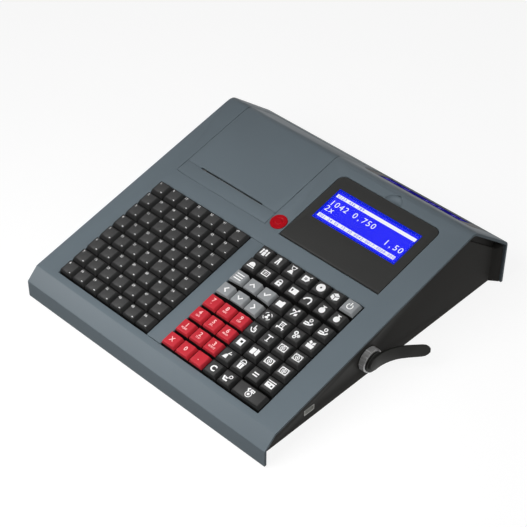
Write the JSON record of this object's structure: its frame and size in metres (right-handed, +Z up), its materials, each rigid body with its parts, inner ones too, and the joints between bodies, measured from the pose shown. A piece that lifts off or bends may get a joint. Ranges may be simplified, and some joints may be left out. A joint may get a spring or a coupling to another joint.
{
  "type": "electronic cash register",
  "caption": "Desk-top cash register with a sloping keyboard, a tilting operator display, a customer display, a ticket printer under a lid and an operator key at the side.",
  "frame": {"origin": "on the floor under the feet, below the middle of the box around the register and its key", "axes": "+X to the right as the operator sees it, +Y to the back, +Z up"},
  "size_m": [0.3666, 0.3628, 0.1037],
  "materials": {
    "cover_grey": "satin moulded plastic, slate grey",
    "base_black": "moulded plastic, warm black",
    "key_black": "keycap plastic, black",
    "key_red": "keycap plastic, red",
    "key_grey": "keycap plastic, grey",
    "button_red": "moulded button, deep red",
    "display_black": "display bezel, black",
    "clear_window": "clear acrylic",
    "lcd_blue": "lit blue display",
    "steel": "brushed",
    "rubber": "matt",
    "circuit_board": "green solder mask",
    "white_plastic": "moulded, natural",
    "paper": "thermal paper"
  },
  "bodies": {
    "casing": {"top_cover": "cover_grey", "base_tub": "base_black", "front_left_foot": "rubber", "front_right_foot": "rubber", "rear_left_foot": "rubber", "rear_right_foot": "rubber", "key_divider": "cover_grey", "key_guide": "white_plastic", "keyboard_board": "circuit_board", "main_board": "circuit_board", "customer_window": "display_black", "customer_display": "lcd_blue", "lid_front_strip": "cover_grey", "tear_bar": "steel", "paper_bin": "white_plastic", "print_head": "circuit_board", "printer_motor": "steel", "lock_ring": "steel", "usb_socket": "steel", "power_inlet": "base_black"},
    "operator_display": {"display_housing": "display_black", "display_window": "clear_window", "lcd_module": "lcd_blue", "display_hinge_pin": "steel"},
    "lid": {"printer_lid": "cover_grey", "lid_hinge_pin": "steel"},
    "platen": {"platen_roller": "rubber", "platen_gear": "white_plastic"},
    "pinion": {"motor_pinion": "steel"},
    "roll": {"paper_roll": "paper"},
    "clerk_key": {"operator_key": "base_black"},
    "button": {"round_button": "button_red"},
    "left_keys_1": {"left_key_column_1": "key_black"},
    "left_keys_2": {"left_key_column_2": "key_black"},
    "left_keys_3": {"left_key_column_3": "key_black"},
    "left_keys_4": {"left_key_column_4": "key_black"},
    "left_keys_5": {"left_key_column_5": "key_black"},
    "left_keys_6": {"left_key_column_6": "key_black"},
    "left_keys_7": {"left_key_column_7": "key_black"},
    "back_functions": {"back_function_keys": "key_black"},
    "functions_4": {"function_key_column_4": "key_black"},
    "functions_5": {"function_key_column_5": "key_black"},
    "functions_6": {"function_key_column_6": "key_black"},
    "functions_7": {"function_key_column_7": "key_black"},
    "total": {"total_key": "key_black"},
    "power": {"power_key": "key_grey"},
    "menu": {"menu_keys": "key_grey"},
    "arrows": {"arrow_keys": "key_grey"},
    "digit_0": {"digit_key_0": "key_red"},
    "digit_1": {"digit_key_1": "key_red"},
    "digit_2": {"digit_key_2": "key_red"},
    "digit_3": {"digit_key_3": "key_red"},
    "digit_4": {"digit_key_4": "key_red"},
    "digit_5": {"digit_key_5": "key_red"},
    "digit_6": {"digit_key_6": "key_red"},
    "digit_7": {"digit_key_7": "key_red"},
    "digit_8": {"digit_key_8": "key_red"},
    "digit_9": {"digit_key_9": "key_red"},
    "multiply": {"multiply_key": "key_red"},
    "point": {"point_key": "key_red"}
  },
  "joints": [
    {"name": "display_tilt", "type": "hinge", "parent": "casing", "child": "operator_display", "pos_m": [0.0616, 0.01345, 0.07348], "axis": [1, 0, 0], "range_deg": [0, 60]},
    {"name": "lid_hinge", "type": "hinge", "parent": "casing", "child": "lid", "pos_m": [-0.09115, 0.16083, 0.06667], "axis": [-1, 0, 0], "range_deg": [0, 92]},
    {"name": "platen_spin", "type": "hinge", "parent": "lid", "child": "platen", "pos_m": [-0.09115, 0.03735, 0.07206], "axis": [1, 0, 0], "continuous": true},
    {"name": "pinion_spin", "type": "hinge", "parent": "casing", "child": "pinion", "pos_m": [-0.13695, 0.04036, 0.05962], "axis": [1, 0, 0], "continuous": true},
    {"name": "roll_spin", "type": "hinge", "parent": "casing", "child": "roll", "pos_m": [-0.09115, 0.08065, 0.0378], "axis": [1, 0, 0], "continuous": true},
    {"name": "key_pull", "type": "slide", "parent": "casing", "child": "clerk_key", "axis": [1, 0, 0], "range_m": [0, 0.03]},
    {"name": "button_press", "type": "slide", "parent": "casing", "child": "button", "axis": [0, 0.2351, -0.972], "range_m": [0, 0.002], "stiffness_N_per_m": 200, "springref_m": -0.001},
    {"name": "left_keys_1_press", "type": "slide", "parent": "casing", "child": "left_keys_1", "axis": [0, 0.2351, -0.972], "range_m": [0, 0.0035], "stiffness_N_per_m": 600, "springref_m": -0.001},
    {"name": "left_keys_2_press", "type": "slide", "parent": "casing", "child": "left_keys_2", "axis": [0, 0.2351, -0.972], "range_m": [0, 0.0035], "stiffness_N_per_m": 600, "springref_m": -0.001},
    {"name": "left_keys_3_press", "type": "slide", "parent": "casing", "child": "left_keys_3", "axis": [0, 0.2351, -0.972], "range_m": [0, 0.0035], "stiffness_N_per_m": 600, "springref_m": -0.001},
    {"name": "left_keys_4_press", "type": "slide", "parent": "casing", "child": "left_keys_4", "axis": [0, 0.2351, -0.972], "range_m": [0, 0.0035], "stiffness_N_per_m": 600, "springref_m": -0.001},
    {"name": "left_keys_5_press", "type": "slide", "parent": "casing", "child": "left_keys_5", "axis": [0, 0.2351, -0.972], "range_m": [0, 0.0035], "stiffness_N_per_m": 600, "springref_m": -0.001},
    {"name": "left_keys_6_press", "type": "slide", "parent": "casing", "child": "left_keys_6", "axis": [0, 0.2351, -0.972], "range_m": [0, 0.0035], "stiffness_N_per_m": 600, "springref_m": -0.001},
    {"name": "left_keys_7_press", "type": "slide", "parent": "casing", "child": "left_keys_7", "axis": [0, 0.2351, -0.972], "range_m": [0, 0.0035], "stiffness_N_per_m": 600, "springref_m": -0.001},
    {"name": "back_functions_press", "type": "slide", "parent": "casing", "child": "back_functions", "axis": [0, 0.2351, -0.972], "range_m": [0, 0.0035], "stiffness_N_per_m": 900, "springref_m": -0.001},
    {"name": "functions_4_press", "type": "slide", "parent": "casing", "child": "functions_4", "axis": [0, 0.2351, -0.972], "range_m": [0, 0.0035], "stiffness_N_per_m": 500, "springref_m": -0.001},
    {"name": "functions_5_press", "type": "slide", "parent": "casing", "child": "functions_5", "axis": [0, 0.2351, -0.972], "range_m": [0, 0.0035], "stiffness_N_per_m": 500, "springref_m": -0.001},
    {"name": "functions_6_press", "type": "slide", "parent": "casing", "child": "functions_6", "axis": [0, 0.2351, -0.972], "range_m": [0, 0.0035], "stiffness_N_per_m": 450, "springref_m": -0.001},
    {"name": "functions_7_press", "type": "slide", "parent": "casing", "child": "functions_7", "axis": [0, 0.2351, -0.972], "range_m": [0, 0.0035], "stiffness_N_per_m": 450, "springref_m": -0.001},
    {"name": "total_press", "type": "slide", "parent": "casing", "child": "total", "axis": [0, 0.2351, -0.972], "range_m": [0, 0.0035], "stiffness_N_per_m": 250, "springref_m": -0.001},
    {"name": "power_press", "type": "slide", "parent": "casing", "child": "power", "axis": [0, 0.2351, -0.972], "range_m": [0, 0.0035], "stiffness_N_per_m": 150, "springref_m": -0.001},
    {"name": "menu_press", "type": "slide", "parent": "casing", "child": "menu", "axis": [0, 0.2351, -0.972], "range_m": [0, 0.0035], "stiffness_N_per_m": 300, "springref_m": -0.001},
    {"name": "arrows_press", "type": "slide", "parent": "casing", "child": "arrows", "axis": [0, 0.2351, -0.972], "range_m": [0, 0.0035], "stiffness_N_per_m": 300, "springref_m": -0.001},
    {"name": "digit_0_press", "type": "slide", "parent": "casing", "child": "digit_0", "axis": [0, 0.2351, -0.972], "range_m": [0, 0.0035], "stiffness_N_per_m": 150, "springref_m": -0.001},
    {"name": "digit_1_press", "type": "slide", "parent": "casing", "child": "digit_1", "axis": [0, 0.2351, -0.972], "range_m": [0, 0.0035], "stiffness_N_per_m": 150, "springref_m": -0.001},
    {"name": "digit_2_press", "type": "slide", "parent": "casing", "child": "digit_2", "axis": [0, 0.2351, -0.972], "range_m": [0, 0.0035], "stiffness_N_per_m": 150, "springref_m": -0.001},
    {"name": "digit_3_press", "type": "slide", "parent": "casing", "child": "digit_3", "axis": [0, 0.2351, -0.972], "range_m": [0, 0.0035], "stiffness_N_per_m": 150, "springref_m": -0.001},
    {"name": "digit_4_press", "type": "slide", "parent": "casing", "child": "digit_4", "axis": [0, 0.2351, -0.972], "range_m": [0, 0.0035], "stiffness_N_per_m": 150, "springref_m": -0.001},
    {"name": "digit_5_press", "type": "slide", "parent": "casing", "child": "digit_5", "axis": [0, 0.2351, -0.972], "range_m": [0, 0.0035], "stiffness_N_per_m": 150, "springref_m": -0.001},
    {"name": "digit_6_press", "type": "slide", "parent": "casing", "child": "digit_6", "axis": [0, 0.2351, -0.972], "range_m": [0, 0.0035], "stiffness_N_per_m": 150, "springref_m": -0.001},
    {"name": "digit_7_press", "type": "slide", "parent": "casing", "child": "digit_7", "axis": [0, 0.2351, -0.972], "range_m": [0, 0.0035], "stiffness_N_per_m": 150, "springref_m": -0.001},
    {"name": "digit_8_press", "type": "slide", "parent": "casing", "child": "digit_8", "axis": [0, 0.2351, -0.972], "range_m": [0, 0.0035], "stiffness_N_per_m": 150, "springref_m": -0.001},
    {"name": "digit_9_press", "type": "slide", "parent": "casing", "child": "digit_9", "axis": [0, 0.2351, -0.972], "range_m": [0, 0.0035], "stiffness_N_per_m": 150, "springref_m": -0.001},
    {"name": "multiply_press", "type": "slide", "parent": "casing", "child": "multiply", "axis": [0, 0.2351, -0.972], "range_m": [0, 0.0035], "stiffness_N_per_m": 150, "springref_m": -0.001},
    {"name": "point_press", "type": "slide", "parent": "casing", "child": "point", "axis": [0, 0.2351, -0.972], "range_m": [0, 0.0035], "stiffness_N_per_m": 150, "springref_m": -0.001}
  ],
  "couplings": [
    {"joint": "pinion_spin", "follows": "platen_spin", "ratio": -2}
  ]
}
